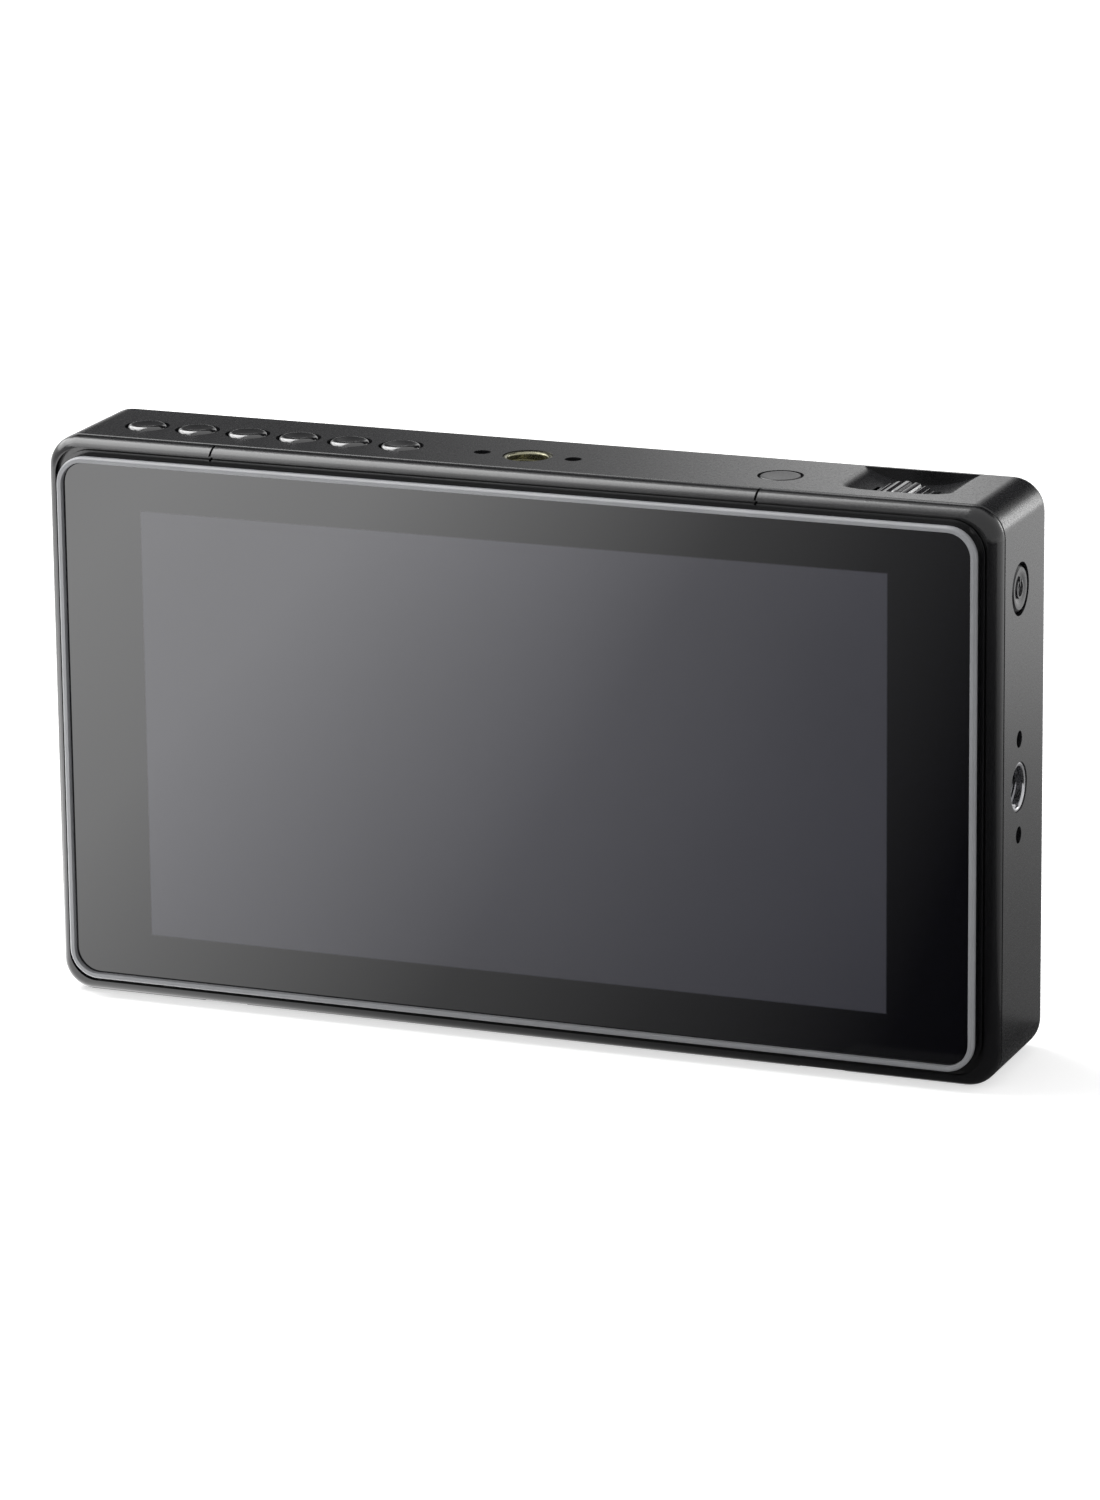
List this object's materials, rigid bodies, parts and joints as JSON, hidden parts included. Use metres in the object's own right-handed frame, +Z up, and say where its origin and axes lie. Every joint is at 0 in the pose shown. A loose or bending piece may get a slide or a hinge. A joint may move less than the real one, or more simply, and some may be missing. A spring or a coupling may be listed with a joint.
{
  "type": "camera field monitor",
  "caption": "Flat rectangular on-camera monitor: glossy screen in a thin bright rim, metal body with round keys and a thumb wheel in its top edge, threaded holes, battery plate behind.",
  "frame": {"origin": "centre of the box's lower face, on the surface that the body stands on", "axes": "+X to the right seen from the screen side, +Y from the screen to the battery plate, +Z up"},
  "size_m": [0.154, 0.031, 0.0894],
  "materials": {
    "housing_metal": "satin black anodised",
    "frame_metal": "satin black anodised",
    "rim_metal": "bright satin edge",
    "cover_glass": "gloss, black border",
    "gasket_foam": "matt",
    "display_panel": "gloss",
    "tray_plastic": "matt",
    "chassis_metal": "rolled sheet",
    "screw_steel": "zinc plated",
    "circuit_board": "solder mask",
    "chip_plastic": "matt",
    "flex_ribbon": "film",
    "menu_key": "satin black",
    "assign_key": "satin black",
    "power_key": "satin black",
    "wheel_metal": "knurled, satin black",
    "insert_brass": "turned",
    "insert_steel": "turned",
    "cover_metal": "satin black anodised",
    "black_screw": "black zinc",
    "plate_plastic": "fine grained",
    "latch_plastic": "satin red",
    "contact_gold": "gold plated",
    "socket_shell": "nickel plated",
    "jack_plastic": "moulded"
  },
  "bodies": {
    "monitor_body": {"main_housing": "housing_metal", "front_frame": "frame_metal", "bezel_rim": "rim_metal", "cover_glass": "cover_glass", "glass_gasket": "gasket_foam", "display_panel": "display_panel", "backlight_tray": "tray_plastic", "chassis_plate": "chassis_metal", "chassis_screws": "screw_steel", "mainboard": "circuit_board", "board_screws": "screw_steel", "processor": "chip_plastic", "heat_spreader": "chassis_metal", "display_ribbon": "flex_ribbon", "key_ribbon": "flex_ribbon", "key_board": "circuit_board", "key_board_screws": "screw_steel", "key_switches": "chip_plastic", "power_board": "circuit_board", "power_switch": "chip_plastic", "power_board_screws": "screw_steel", "wheel_bracket": "chassis_metal", "wheel_encoder": "chip_plastic", "wheel_bracket_screws": "screw_steel", "top_thread_insert": "insert_brass", "side_thread_insert": "insert_steel", "bottom_thread_insert": "insert_brass", "back_cover": "cover_metal", "back_cover_screws": "black_screw", "battery_plate": "plate_plastic", "battery_plate_screws": "black_screw", "contact_block": "chip_plastic", "battery_contacts": "contact_gold", "latch_spring": "screw_steel", "video_input_socket": "socket_shell", "video_output_socket": "socket_shell", "data_socket": "socket_shell", "dc_jack": "jack_plastic", "headphone_jack": "jack_plastic"},
    "menu_button_1": {"menu_button_1": "menu_key"},
    "menu_button_2": {"menu_button_2": "menu_key"},
    "menu_button_3": {"menu_button_3": "menu_key"},
    "menu_button_4": {"menu_button_4": "menu_key"},
    "menu_button_5": {"menu_button_5": "menu_key"},
    "menu_button_6": {"menu_button_6": "menu_key"},
    "assign_button": {"assign_button": "assign_key"},
    "power_button": {"power_button": "power_key"},
    "battery_latch": {"battery_latch": "latch_plastic"},
    "thumb_wheel": {"thumb_wheel": "wheel_metal", "wheel_axle": "screw_steel"}
  },
  "joints": [
    {"name": "menu_button_1_press", "type": "slide", "parent": "monitor_body", "child": "menu_button_1", "axis": [0, 0, -1], "range_m": [0, 0.0006], "stiffness_N_per_m": 400, "springref_m": -0.001},
    {"name": "menu_button_2_press", "type": "slide", "parent": "monitor_body", "child": "menu_button_2", "axis": [0, 0, -1], "range_m": [0, 0.0006], "stiffness_N_per_m": 400, "springref_m": -0.001},
    {"name": "menu_button_3_press", "type": "slide", "parent": "monitor_body", "child": "menu_button_3", "axis": [0, 0, -1], "range_m": [0, 0.0006], "stiffness_N_per_m": 400, "springref_m": -0.001},
    {"name": "menu_button_4_press", "type": "slide", "parent": "monitor_body", "child": "menu_button_4", "axis": [0, 0, -1], "range_m": [0, 0.0006], "stiffness_N_per_m": 400, "springref_m": -0.001},
    {"name": "menu_button_5_press", "type": "slide", "parent": "monitor_body", "child": "menu_button_5", "axis": [0, 0, -1], "range_m": [0, 0.0006], "stiffness_N_per_m": 400, "springref_m": -0.001},
    {"name": "menu_button_6_press", "type": "slide", "parent": "monitor_body", "child": "menu_button_6", "axis": [0, 0, -1], "range_m": [0, 0.0006], "stiffness_N_per_m": 400, "springref_m": -0.001},
    {"name": "assign_button_press", "type": "slide", "parent": "monitor_body", "child": "assign_button", "axis": [0, 0, -1], "range_m": [0, 0.0006], "stiffness_N_per_m": 400, "springref_m": -0.001},
    {"name": "power_button_press", "type": "slide", "parent": "monitor_body", "child": "power_button", "axis": [-1, 0, 0], "range_m": [0, 0.0006], "stiffness_N_per_m": 400, "springref_m": -0.001},
    {"name": "thumb_wheel_turn", "type": "hinge", "parent": "monitor_body", "child": "thumb_wheel", "pos_m": [0.0581, -0.0019, 0.0814], "axis": [0, 1, 0], "continuous": true},
    {"name": "battery_latch_press", "type": "slide", "parent": "monitor_body", "child": "battery_latch", "axis": [0, -1, 0], "range_m": [0, 0.002], "stiffness_N_per_m": 400, "springref_m": -0.001, "deforming": ["latch_spring"]}
  ]
}
